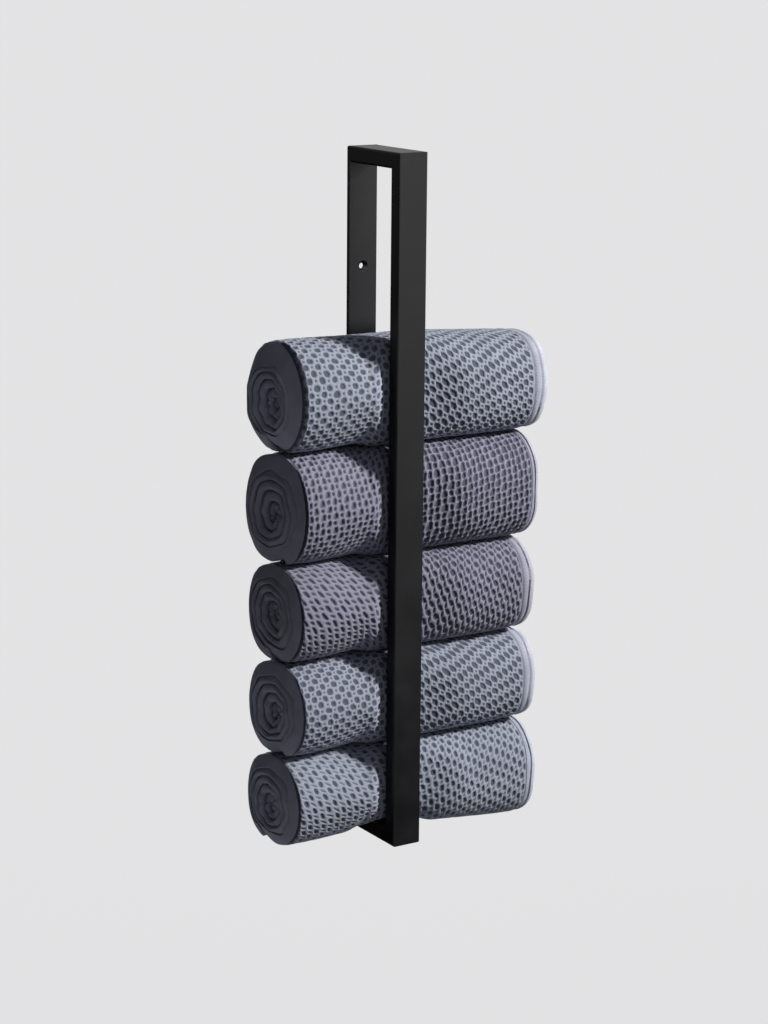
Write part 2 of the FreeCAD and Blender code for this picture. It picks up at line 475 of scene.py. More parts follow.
@dataclass(frozen=True)
class KnitPattern:
    """Open knit of one towel, as it shows on the outer turn.

    Large and small holes alternate like the fields of a chessboard.
    """

    across: Pair  # from one large hole of a row to the next, on the left and the right half
    around: float  # from one large hole of a column to the next, round the roll
    slant: Pair  # fall of the rows towards the right, on the left and the right half
    lean: float  # how far the columns run to the right on their way down
    large: tuple[HoleShape, HoleShape]  # the large holes on the left and the right half
    small: tuple[HoleShape, HoleShape]  # the small holes on the left and the right half
    depth: float = 0.0013  # of the deepest holes
    halves: Pair = (0.30, 0.60)  # where the left half turns into the right, as shares of the length
    uneven: float = 0.0005  # how far the holes stray from their rows and columns
    uneven_cell: float = 0.009  # distance in which that straying changes
    uneven_seeds: tuple[int, int] = (11, 12)  # of the straying along and round the roll
    sizes: float = 0.07  # how far the holes' sizes stray, as a share
    sizes_cell: float = 0.007  # distance in which they change
    sizes_seed: int = 13
    wander_round: Pair = (0.0006, 0.083)  # swing and wave length of a slow wander, round the roll
    wander_along: Pair = (0.0005, 0.061)  # the same along the roll
    wander_twist: float = 31.0  # how fast the first of them changes along the roll
    wander_rows: float = 0.7  # share of the wander that the rows have
    yarn: float = 0.14  # values of the field in which a hole runs out at its cell's edge
    fuzz: float = 0.05  # unevenness of the yarn, as a share of the depth
    fuzz_seed: int = 7
    plain: float = 0.72  # height of the plain cloth beside the right border and along the loose end
    plain_right: float = 0.002  # breadth of that strip beside the border
    plain_end: Pair = (0.003, 0.006)  # distances between which it ends, from the loose end
    sunk: float = 0.2  # height of the knit at the left border, where it turns in; the painted hole shade darkens it there
    sunk_run: float = 0.003  # breadth over which it turns in

    @staticmethod
    def unrest(along: Array, around: Array, cell: float, seed: int) -> Array:
        """Smooth random field over the cloth.

        Args:
            along: distance along the roll of each column of the result.
            around: distance round the roll of each row of the result.
            cell: distance from one random value to the next.
            seed: start of the random values.

        Returns:
            Values round 0, mostly between -1 and 1.
        """
        across, down = (along - along.min()) / cell, (around - around.min()) / cell
        column, row = np.floor(across).astype(int), np.floor(down).astype(int)
        knots = np.random.default_rng(seed).standard_normal((row.max() + 2, column.max() + 2))
        right = ease(across - column, 0.0, 1.0)[None, :]
        lower = ease(down - row, 0.0, 1.0)[:, None]
        spans = knots[:, column] * (1.0 - right) + knots[:, column + 1] * right
        return spans[row] * (1.0 - lower) + spans[row + 1] * lower

    @staticmethod
    def in_cell(phase: Array) -> Array:
        """Place in a cell, from -1 to 1, of a phase that grows by half a turn from cell to cell."""
        return np.arcsin(np.sin(phase) * np.sign(np.cos(phase))) * 2.0 / math.pi

    def relief(self, along: Array, around: Array) -> Array:
        """Height of the knit.

        Args:
            along: distance along the roll of each column of the result.
            around: distance round the roll, downwards in front, of each row of the result.

        Returns:
            0 in the bottom of a hole to 1 on the yarn.
        """
        right = ease(along, *(share * along[-1] for share in self.halves))
        across = between(*self.across, right)
        slant = between(*self.slant, right)
        steps = np.diff(along)
        passed = running(steps / across[1:])[None, :]
        drop = running(steps * slant[1:])[None, :]
        aslant, askew = (
            self.uneven * self.unrest(along, around, self.uneven_cell, seed)
            for seed in self.uneven_seeds
        )
        size = 1.0 + self.sizes * self.unrest(along, around, self.sizes_cell, self.sizes_seed)
        along, around = along[None, :], around[:, None]
        across, right = across[None, :], right[None, :]
        swing, wave = self.wander_round
        wander = swing * np.sin(TURN * around / wave + self.wander_twist * along)
        swing, wave = self.wander_along
        wander = wander + swing * np.sin(TURN * along / wave)
        column = TURN * (passed + (wander + aslant - self.lean * around) / across)
        row = TURN * (around - drop + self.wander_rows * wander + askew) / self.around
        field = np.cos(column) * np.cos(row)
        aside, down = self.in_cell(column) / size, self.in_cell(row) / size
        height = np.ones_like(field)
        for shapes, inside in ((self.large, field), (self.small, -field)):
            left_pit, right_pit = (shape.pit(aside, down) for shape in shapes)
            pit = left_pit * (1.0 - right) + right_pit * right
            height = height - pit * ease(inside, 0.0, self.yarn)
        grain = np.random.default_rng(self.fuzz_seed).standard_normal(field.shape)
        return np.clip(height - self.fuzz * np.abs(grain), 0.0, 1.0)

    def with_edges(self, along: Array, around: Array, way: int) -> Array:
        """Height of the knit with its plain edges.

        Args:
            along: distance from the left border of each column of the result.
            around: distance from the loose end of each row of the result.
            way: the way the cloth winds.

        Returns:
            0 in the bottom of a hole to 1 on the yarn, plain beside the right border and along the
            loose end.
        """
        relief = self.relief(along, -way * around)
        right = ease(along[-1] - along, 0.0, self.plain_right)[None, :]
        end = ease(around, *self.plain_end)[:, None]
        relief = self.plain + (relief - self.plain) * right * end
        return relief * between(self.sunk, 1.0, ease(along, 0.0, self.sunk_run))[None, :]


@dataclass(frozen=True)
class RollForm:
    """How a roll departs from its straight solid where the bar doesn't grip it."""

    core: Pair  # where the core lies from the middle, along Y and Z
    seam: Pair  # how far the knit reaches past the solids' seam, left and right
    hem: Pair  # width of the outer turn's border in front, left and right
    skew: float  # how much further the left end reaches on the wall side than in front
    round_off: Pair  # how far the radius drops round the left and the right end
    stand: Pair  # how far the inner turns stand out past the outer one, left and right
    lift: float  # rise of the left end's edge
    fold: float = 0.001  # where the left end's rounding starts, before the seam
    top: Pair = (0.0, 0.0)  # rise of its top at the left and the right end
    bottom: Pair = (0.0, 0.0)  # rise of its underside at the left and the right end
    sag: float = 0.0  # how far its underside sags beside the bar
    room_swell: float = 0.0115  # how far it swells towards the room beside the bar
    wall_swell: float = 0.0040  # how far it swells towards the wall beside the plate
    lump: float = 0.012  # unevenness, as a share of the radius
    press: Pair = (0.0006, 0.0006)  # how far its top and its underside press into the next roll


@dataclass(frozen=True)
class Winding:
    """How every towel is wound up."""

    cloth_length: float = 0.85
    turns: float = 4.87  # from the loose end to the core
    overlap: float = 1.04  # turns of the cloth that have the knit's fine relief
    core_gap: float = 0.03  # radius of the gap in the core, as a share of the roll's
    fill: float = 0.93  # thickness of the cloth, as a share of the pitch
    step: float = 0.09  # share of a turn on each side of the loose end, for the step under it
    tuck: float = 0.55  # share of the step that comes before the loose end
    swell_run: Pair = (0.020, 0.055)  # distance left and right of the bar in which a roll swells
    round_run: Pair = (0.022, 0.050)  # distance left and right of the bar in which it rounds off
    sag_run: float = 0.035  # distance from the bar in which its underside sags
    press_left: Pair = (0.004, 0.020)  # distances from the left seam in which its press sets in
    press_right: Pair = (0.006, 0.022)  # distances from the right seam in which its press sets in
    boxy_grip: float = 3.1  # squareness of the section between bar and plate, 2 for an ellipse
    boxy_room: Triple = (1.62, 2.05, 2.45)  # room side: by the bar, at the left end, on the right
    boxy_run: Pair = (0.035, 0.095)  # distances left of the bar's middle where that changes
    boxy_wall: float = 2.8  # wall side, beside the plate
    lumps: tuple[Triple, ...] = ((2, 37.0, 1.0), (3, -61.0, 2.3))  # lobes, twist, phase per roll
    slant: float = 1.9  # power by which the left end's slant curves
    end_run: float = 1.08  # length of an end's rounding, as a share of its border's width
    end_limit: float = 0.95  # the most of that length that is used
    left_round: Pair = (0.8, 0.2)  # share of a bevel and of an arc in the left end's rounding
    flat: float = 1.05  # share of an end's rounding that its top and underside have

    @property
    def pitch(self) -> float:
        """Distance from one turn to the next, as a share of the roll's radius."""
        return (1.0 - self.core_gap) / (math.floor(self.turns) + self.fill)

    def outside(self, theta: Array) -> Array:
        """Radius of the cloth's outer face, as a share of the roll's.

        Args:
            theta: angle wound so far from the loose end.

        Returns:
            1 on the outer turn, less by one pitch for each turn.
        """
        wound = theta / TURN
        whole = np.floor(wound)
        part = wound - whole
        before = self.tuck * ease(part, 1.0 - self.step, 1.0)
        past = (1.0 - self.tuck) * (1.0 - ease(part, 0.0, self.step))
        return 1.0 - self.pitch * np.maximum(whole + before - past, 0.0)

    def inside(self, theta: Array) -> Array:
        """Radius of its inner face, as a share of the roll's, just clear of the next turn."""
        return self.outside(theta + TURN) + (1.0 - self.fill) * self.pitch

    def slanted(self, level: Array) -> Array:
        """How far a slanted end reaches out: 0 on the room side, at level 1, to 1 at level -1."""
        return np.clip((1.0 - level) / 2, 0.0, 1.0) ** self.slant


class HemPoint(NamedTuple):
    """One point of a border's section."""

    share: float  # of the way from the seam to where the edge's rounding starts
    edge: float  # how far it lies past that, as a share of the edge's radius
    depth: float  # 0 on the outer face to 1 on the inner one
    lift: float  # its level over the knit's ridges
    rim: float  # share of the rim's colour


@dataclass(frozen=True)
class HemProfile:
    """Section through a border, from the knit's seam to the edge."""

    seam: float = -0.0021  # depth of the groove beside the knit
    band: float = -0.0007  # level of the plain band under the knit's ridges
    stitch: float = -0.0013  # depth of the stitched groove before the rim
    rim: float = -0.0001  # level of the raised rim
    stitch_at: float = 0.62  # place of the stitched groove, as a share of the way to the edge
    stitch_half: Pair = (0.03, 0.10)  # half the groove's width at its bottom and between its brinks
    rim_fade: float = 0.05  # half the width in which the rim's colour sets in
    back_rim: float = 0.3  # share of the rim's colour on the inner face
    radius: float = 0.042  # of a usual roll, to turn the levels into shares of it
    end_radius: Pair = (0.0040, 0.0026)  # of the rounded edge, at the left and at the right
    end_share: float = 0.75  # the most of a border's width that the edge's radius takes up
    edge_turn: float = 80.0  # how far the edge's rounding turns to both sides, in degrees
    edge_points: int = 9  # number of points on it
    band_point: int = 3  # number of a point on the plain band
    stand_turns: Pair = (0.92, 1.3)  # turns in which the inner ones come to stand out
    core_sink: float = 0.005  # how far the core sinks in
    core_turns: Pair = (2.6, 4.8)  # turns in which it does
    ripple: tuple[Triple, ...] = ((0.0006, 7.0, 1.0), (0.0004, 3.3, 0.0))  # height, lobes, phase
    crease: float = 60.0  # angle past which an edge of the mesh stays sharp, in degrees

    def levels(self, end: End) -> tuple[Pair, ...]:
        """Share of the way to the edge, and level, of each point of the outer face.

        Args:
            end: the roll's end; the left hem is plain.

        Returns:
            The points in order.
        """
        if end is End.LEFT:
            return tuple((share, self.band) for share in (0.0, 0.15, 0.3, 0.45, 0.6, 0.75, 0.9))
        bottom, brink = self.stitch_half
        return (
            (0.0, self.seam),
            (0.05, self.seam),
            (0.14, self.band),
            (0.32, self.band),
            (self.stitch_at - brink, self.band),
            (self.stitch_at - bottom, self.stitch),
            (self.stitch_at + bottom, self.stitch),
            (self.stitch_at + brink, self.rim),
            (0.86, self.rim),
        )

    def points(self, end: End) -> list[HemPoint]:
        """The whole section, from the seam over the edge and back along the inner face.

        Args:
            end: the roll's end; the left hem has no rim.

        Returns:
            The points in order.
        """
        edge_lift, rimmed = (self.band, 0.0) if end is End.LEFT else (self.rim, 1.0)
        fade = self.stitch_at - self.rim_fade, self.stitch_at + self.rim_fade
        points = []
        for share, lift in self.levels(end):
            rim = rimmed * float(ease(np.array(share), *fade))
            points.append(HemPoint(share, 0.0, 0.0, lift, rim))
        for turn in np.radians(np.linspace(self.edge_turn, -self.edge_turn, self.edge_points)):
            depth = 0.5 - 0.5 * math.sin(turn)
            points.append(HemPoint(1.0, math.cos(turn), depth, edge_lift, rimmed))
        for share in (0.8, 0.5, 0.2, 0.0):
            points.append(HemPoint(share, 0.0, 1.0, 0.0, self.back_rim * rimmed))
        return points


class MeshGrid:
    """Vertices and faces of one closed piece, gathered block by block."""

    def __init__(self) -> None:
        """Starts empty."""
        self.points: list[Array] = []
        self.faces: list[tuple[int, ...]] = []
        self.count = 0

    def block(self, points: Array) -> Array:
        """Adds vertices.

        Args:
            points: vertices in rows and columns.

        Returns:
            Their numbers, in the same rows and columns.
        """
        rows, columns = points.shape[:2]
        numbers = self.count + np.arange(rows * columns).reshape(rows, columns)
        self.points.append(points.reshape(-1, 3))
        self.count += rows * columns
        return numbers

    def quads(self, numbers: Array) -> None:
        """Fills rows and columns of vertices with quads."""
        corners = (numbers[:-1, :-1], numbers[1:, :-1], numbers[1:, 1:], numbers[:-1, 1:])
        self.faces.extend(map(tuple, np.stack(corners, -1).reshape(-1, 4).tolist()))

    def fan(self, fine: Array, coarse: Array) -> None:
        """Fills the strip between a fine row of vertices and a coarse one.

        Args:
            fine: vertex numbers of the fine row.
            coarse: vertex numbers of the coarse row, with as many spans as divide the fine ones.
        """
        step = (len(fine) - 1) // (len(coarse) - 1)
        half = step // 2
        for span in range(len(coarse) - 1):
            near, far = int(coarse[span]), int(coarse[span + 1])
            row = [int(number) for number in fine[span * step:(span + 1) * step + 1]]
            self.faces.extend((row[i], row[i + 1], near) for i in range(half))
            self.faces.append((row[half], far, near))
            self.faces.extend((row[i], row[i + 1], far) for i in range(half, step))

    def piece(self, name: str, attributes: dict[str, Array]) -> bpy.types.Object:
        """Makes the piece, with its faces turned outwards.

        Args:
            name: the piece's name.
            attributes: values for each vertex, one number or three, by attribute name.

        Returns:
            The new object, at the origin.
        """
        mesh = bpy.data.meshes.new(name)
        mesh.from_pydata(np.concatenate(self.points).tolist(), [], self.faces)
        for key, values in attributes.items():
            kind, field = ("FLOAT", "value") if values.ndim == 1 else ("FLOAT_VECTOR", "vector")
            made = mesh.attributes.new(key, kind, "POINT")
            made.data.foreach_set(field, values.astype(np.float32).ravel())
        made_piece = bpy.data.objects.new(name, mesh)
        bpy.context.scene.collection.objects.link(made_piece)
        bpy.ops.object.select_all(action="DESELECT")
        made_piece.select_set(True)
        bpy.context.view_layer.objects.active = made_piece
        bpy.ops.object.mode_set(mode="EDIT")
        bpy.ops.mesh.select_all(action="SELECT")
        bpy.ops.mesh.normals_make_consistent(inside=False)
        bpy.ops.object.mode_set(mode="OBJECT")
        bpy.ops.object.shade_smooth()
        made_piece.select_set(False)
        return made_piece


@dataclass(frozen=True)
class RolledTowel:
    """One rolled towel: the knit cloth and its two plain borders."""

    number: int  # from the top
    shade: Shade
    tuck: Tuck
    form: RollForm
    knit: KnitPattern
    winding: Winding = Winding()
    hem: HemProfile = HemProfile()
    columns: int = 312  # fine columns of the knit's mesh along the roll
    rows: int = 270  # fine rows round the outer turn
    row_weight: Pair = (0.55, 0.45)  # row density on the wall side, and what the room side adds
    row_span: Pair = (-0.6, 0.0)  # cosines round the roll between which the density changes
    path_steps: int = 3000  # steps in which the outer turn is measured
    inner_rows: int = 100  # coarse rows round the inner turns
    inner_ridge: float = 0.5  # height of the knit whose colour they get, partly the painted hole shade
    coarse: int = 12  # fine columns in a coarse one
    hem_rows: int = 420  # rows of a border's mesh

    def node(self, part: str) -> str:
        """Name of one of the towel's pieces or solids."""
        return f"towel_{self.number}_{part}"

    @staticmethod
    def grip() -> float:
        """Where the bar's grip ends, right of its middle."""
        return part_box("front_bar")[1].x

    def limits(self) -> tuple[Vector, Vector]:
        """Lowest and highest corner of the whole roll."""
        low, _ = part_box(self.node("left_border"))
        _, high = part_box(self.node("right_border"))
        return low, high

    def seams(self) -> Pair:
        """Where the knit ends along X, at the left and at the right."""
        low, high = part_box(self.node("cloth"))
        return low.x - self.form.seam[0], high.x + self.form.seam[1]

    def heights(self, x: Array) -> tuple[Array, Array]:
        """Height of the roll's underside and of its top.

        Args:
            x: place along X.

        Returns:
            The lower and the upper height.
        """
        form, winding, grip = self.form, self.winding, self.grip()
        low, high = self.limits()
        left_seam, right_seam = self.seams()
        left = ease(-x, grip, -low.x)
        right = ease(x, grip, high.x)
        top = high.z + form.top[0] * left + form.top[1] * right
        bottom = low.z + form.bottom[0] * left + form.bottom[1] * right
        bottom = bottom - form.sag * ease(np.abs(x), grip, grip + winding.sag_run)
        pressed = ease(x - left_seam, *winding.press_left)
        pressed = pressed * ease(right_seam - x, *winding.press_right)
        return bottom - form.press[1] * pressed, top + form.press[0] * pressed

    def section(self, level: Array, upright: Array, x: Array) -> tuple[Array, Array]:
        """Form of the cross-section.

        Args:
            level: cosine of the angle round the roll, 1 on the room side.
            upright: sine of that angle, 1 on the top.
            x: place along X.

        Returns:
            How far the roll swells there, and the factor that squares the section's corners.
        """
        form, winding, grip = self.form, self.winding, self.grip()
        beside, rounded = (
            np.where(x < 0, ease(-x, grip, grip + run[0]), ease(x, grip, grip + run[1]))
            for run in (winding.swell_run, winding.round_run)
        )
        swell = np.where(level > 0, form.room_swell, form.wall_swell)
        near, far, right_room = winding.boxy_room
        room = np.where(x < 0, between(near, far, ease(-x, *winding.boxy_run)), right_room)
        free = np.where(level > 0, room, winding.boxy_wall)
        boxy = between(winding.boxy_grip, free, rounded)
        corner = (np.abs(level) ** boxy + np.abs(upright) ** boxy) ** (-1.0 / boxy)
        return swell * beside, corner

    def past_seams(self, level: Array, x: Array) -> tuple[Array, Array]:
        """How far points lie past the knit's seams.

        Args:
            level: how far they lie towards the room, as a share of the roll's radius.
            x: place along X.

        Returns:
            Share of the left end's rounding and of the right end's that lies behind them.
        """
        form, winding = self.form, self.winding
        left_seam, right_seam = self.seams()
        straight = x + form.skew * winding.slanted(level)
        left_run = winding.end_run * (form.hem[0] + form.fold)
        right_run = winding.end_run * form.hem[1]
        left = np.clip((left_seam + form.fold - straight) / left_run, 0.0, winding.end_limit)
        right = np.clip((x - right_seam) / right_run, 0.0, winding.end_limit)
        return left, right

    def place(self, theta: Array, share: Array, x: Array) -> Array:
        """Points of the roll.

        Args:
            theta: angle wound from the loose end.
            share: radius, as a share of the roll's.
            x: place along X.

        Returns:
            The points, with X, Y and Z last.
        """
        theta, share, x = np.broadcast_arrays(theta, share, x)
        form, winding = self.form, self.winding
        low, high = self.limits()
        bottom, top = self.heights(x)
        half_depth = (high.y - low.y) / 2
        angle = self.tuck.angle(theta)
        level, upright = np.cos(angle), np.sin(angle)
        swell, corner = self.section(level, upright, x)
        reach_y = (half_depth + swell) * level * corner
        reach_z = (top - bottom) / 2 * upright * corner
        wave = sum(
            np.sin(lobes * angle + twist * x + phase * self.number)
            for lobes, twist, phase in winding.lumps
        )
        # Top and underside, where the rolls lie on each other, stay even.
        lump = 1.0 - form.lump * (0.5 + 0.25 * wave) * (1.0 - upright**4)
        past_left, past_right = self.past_seams(share * level, x)
        bevel, arc = winding.left_round
        left_drop = bevel * past_left + arc * (1.0 - np.sqrt(1.0 - past_left**2))
        right_drop = 1.0 - np.sqrt(1.0 - past_right**2)
        drop = form.round_off[0] * left_drop + form.round_off[1] * right_drop
        drop = drop / half_depth * share**2
        inward = 1.0 - share
        y = (low.y + high.y) / 2 - share * lump * (1.0 - drop) * reach_y
        y = y + inward * form.core[0]
        z = (top + bottom) / 2 + share * lump * (1.0 - winding.flat * drop) * reach_z
        z = z + inward * form.core[1] + form.lift * past_left
        return np.stack([x, y, z], -1)

    def outer_steps(self) -> tuple[Array, Array]:
        """Steps round the outer turn, finer on the room side.

        Returns:
            Angle and distance from the loose end of each fine row, a little past one turn.
        """
        low, _ = self.limits()
        fine = np.linspace(0.0, TURN * self.winding.overlap, self.path_steps)
        run = run_along(self.place(fine, np.ones_like(fine), np.full_like(fine, low.x / 2)))
        room_side = ease(np.cos(self.tuck.angle(fine)), *self.row_span)
        least, more = self.row_weight
        weight = running(np.diff(run) * (least + more * room_side[1:]))
        distance = np.interp(np.linspace(0.0, weight[-1], self.rows + 1), weight, run)
        return np.interp(distance, run, fine), distance

    @staticmethod
    def outward(face: Array) -> Array:
        """Normals of a face that goes round the roll.

        Args:
            face: its points, with one row for each angle.

        Returns:
            A unit vector for each point, away from the roll's middle.
        """
        normal = np.cross(np.gradient(face, axis=1), np.gradient(face, axis=0))
        normal /= np.linalg.norm(normal, axis=-1, keepdims=True)
        away = face[..., 1:] - face[..., 1:].mean(axis=0, keepdims=True)
        return normal * np.sign((normal[..., 1:] * away).sum(axis=-1).mean())

    def build_knit(self) -> bpy.types.Object:
        """Makes the wound knit cloth as one closed strip, with fine relief on its outer turn.

        Returns:
            The piece.
        """
        x_fine = np.linspace(*self.seams(), self.columns + 1)
        x_coarse = x_fine[::self.coarse]
        theta_fine, distance = self.outer_steps()
        last = TURN * self.winding.turns
        theta_inner = np.linspace(theta_fine[-1], last, self.inner_rows)[1:]
        theta_all = np.concatenate([theta_fine, theta_inner])
        outer = self.winding.outside(theta_all)[:, None]
        inner = self.winding.inside(theta_all)[:, None]
        fine_count = len(theta_fine)
        face = self.place(theta_fine[:, None], outer[:fine_count], x_fine[None, :])
        relief = self.knit.with_edges(x_fine - x_fine[0], distance, self.tuck.value[1])
        face = face - self.outward(face) * (self.knit.depth * (1.0 - relief))[..., None]
        grid = MeshGrid()
        fine = grid.block(face)
        wound = grid.block(self.place(theta_inner[:, None], outer[fine_count:], x_coarse[None, :]))
        back = grid.block(self.place(theta_all[:, None], inner, x_coarse[None, :]))
        grid.quads(fine)
        grid.fan(fine[-1], wound[0])
        grid.quads(wound)
        grid.quads(back[:, ::-1])
        grid.fan(fine[0][::-1], back[0][::-1])
        grid.quads(np.stack([wound[-1], back[-1]]))
        for edge, way in ((0, 1), (-1, -1)):
            front = np.concatenate([fine[:, edge], wound[:, edge]])
            grid.quads(np.stack([front, back[:, edge]])[::way])
        hidden = grid.count - fine.size
        ridge = np.concatenate([relief.ravel(), np.full(hidden, self.inner_ridge)])
        lie = np.stack(np.broadcast_arrays(x_fine[None, :], distance[:, None], 0.0), -1)
        weave = np.concatenate([lie.reshape(-1, 3), np.zeros((hidden, 3))])
        return grid.piece(self.node("knit"), {"ridge": ridge, "weave": weave})

    def reach(self, end: End, theta: Array, outer: Array) -> Array:
        """Width of a border on its way round the roll.

        Args:
            end: the roll's end that it finishes.
            theta: angle wound from the loose end.
            outer: radius of the cloth there, as a share of the roll's.

        Returns:
            The width for each angle.
        """
        form, hem = self.form, self.hem
        wound = theta / TURN
        reach = form.hem[end.value] + form.stand[end.value] * ease(wound, *hem.stand_turns)
        reach = reach - hem.core_sink * ease(wound, *hem.core_turns)
        if end is End.LEFT:
            level = np.cos(self.tuck.angle(theta))
            reach = reach + form.skew * self.winding.slanted(outer * level)
        for height, lobes, phase in hem.ripple:
            reach = reach + height * np.sin(lobes * theta + phase * self.number)
        return reach

    def build_border(self, end: End) -> bpy.types.Object:
        """Makes a plain border as one closed strip that winds with the cloth.

        Args:
            end: the roll's end that it finishes.

        Returns:
            The piece.
        """
        hem = self.hem
        theta = np.linspace(0.0, TURN * self.winding.turns, self.hem_rows)
        outer = self.winding.outside(theta)
        thick = outer - self.winding.inside(theta)
        reach = self.reach(end, theta, outer)
        edge_radius = np.minimum(hem.end_radius[end.value], hem.end_share * reach)
        share, edge, depth, lift, rim = np.array(hem.points(end)).T
        across = share * (reach - edge_radius)[:, None] + edge * edge_radius[:, None]
        radius = outer[:, None] - thick[:, None] * depth + lift / hem.radius
        points = self.place(theta[:, None], radius, self.seams()[end.value] + end.way * across)
        grid = MeshGrid()
        ring = grid.block(points)
        grid.quads(np.concatenate([ring, ring[:, :1]], axis=1))
        grid.faces.append(tuple(ring[0].tolist()))
        grid.faces.append(tuple(ring[-1][::-1].tolist()))
        on_band = run_along(points[:, hem.band_point])
        weave = np.stack(np.broadcast_arrays(across, on_band[:, None], 0.0), -1).reshape(-1, 3)
        rims = np.broadcast_to(rim, across.shape).ravel()
        border = grid.piece(self.node(f"{end.side}_hem"), {"rim": rims, "weave": weave})
        border.select_set(True)
        bpy.ops.object.shade_smooth_by_angle(angle=math.radians(hem.crease))
        border.select_set(False)
        return border

    def dress(self, yarns: dict[Shade, Material], bands: dict[Shade, Material]) -> None:
        """Builds the towel's pieces, gives them their finish and sets them on their body.

        Args:
            yarns: knit finish of each colour family.
            bands: border finish of each colour family.
        """
        body = f"towel_{self.number}"
        knit = self.build_knit()
        knit.data.materials.append(yarns[self.shade])
        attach(knit, body)
        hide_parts(self.node("cloth"))
        for end in End:
            border = self.build_border(end)
            border.data.materials.append(bands[self.shade])
            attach(border, body)
            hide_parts(self.node(f"{end.side}_border"))
        low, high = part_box(self.node("cloth"))
        LOG.info("%s: %d faces", knit.name, len(knit.data.polygons))


@dataclass(frozen=True)
class Lamp:
    """A lamp that points at the origin and doesn't show in reflections."""

    name: str
    kind: str  # its type
    way: Triple  # direction from the object to the lamp
    far: float  # its distance
    watts: float  # its power
    face: dict[str, Any]  # sizes of its face or its beam, by property

    def hang(self) -> None:
        """Hangs the lamp."""
        lamp = bpy.data.lights.new(self.name, self.kind)
        lamp.energy = self.watts
        for key, value in self.face.items():
            setattr(lamp, key, value)
        way = Vector(self.way)
        holder = bpy.data.objects.new(self.name, lamp)
        holder.location = way.normalized() * self.far
        holder.rotation_euler = (-way).to_track_quat("-Z", "Y").to_euler()
        holder.visible_glossy = False
        bpy.context.scene.collection.objects.link(holder)


@dataclass(frozen=True)
class Camera:
    """The camera, at the photograph's viewing angle."""

    yaw: float = 32.304  # how far it looks to the right, in degrees
    pitch: float = 13.129  # how far it looks down
    roll: float = 0.506  # how far it leans
    aim: Triple = (-0.02841, -0.0900, 0.00102)  # the point in the middle of the picture
    distance: float = 2.28308  # from there to the camera
    sensor: float = 36.0  # long side of the picture, in millimetres
    lens: float = 88.23  # focal length for it
    clip: Pair = (0.05, 100.0)  # nearest and furthest distance that it shows

    def set_up(self) -> None:
        """Sets the camera up."""
        yaw, pitch, roll = (math.radians(angle) for angle in (self.yaw, self.pitch, self.roll))
        flat = math.cos(pitch)
        ahead = Vector((math.sin(yaw) * flat, math.cos(yaw) * flat, -math.sin(pitch)))
        level = Vector((math.cos(yaw), -math.sin(yaw), 0.0))
        above = level.cross(ahead)
        right = math.cos(roll) * level + math.sin(roll) * above
        up = math.cos(roll) * above - math.sin(roll) * level
        lens = bpy.data.cameras.new("camera")
        lens.sensor_width = self.sensor
        lens.lens = self.lens
        lens.clip_start, lens.clip_end = self.clip
        camera = bpy.data.objects.new("camera", lens)
        turned = Matrix((right, up, -ahead)).transposed().to_4x4()
        camera.matrix_world = Matrix.Translation(Vector(self.aim) - ahead * self.distance) @ turned
        bpy.context.scene.collection.objects.link(camera)
        bpy.context.scene.camera = camera


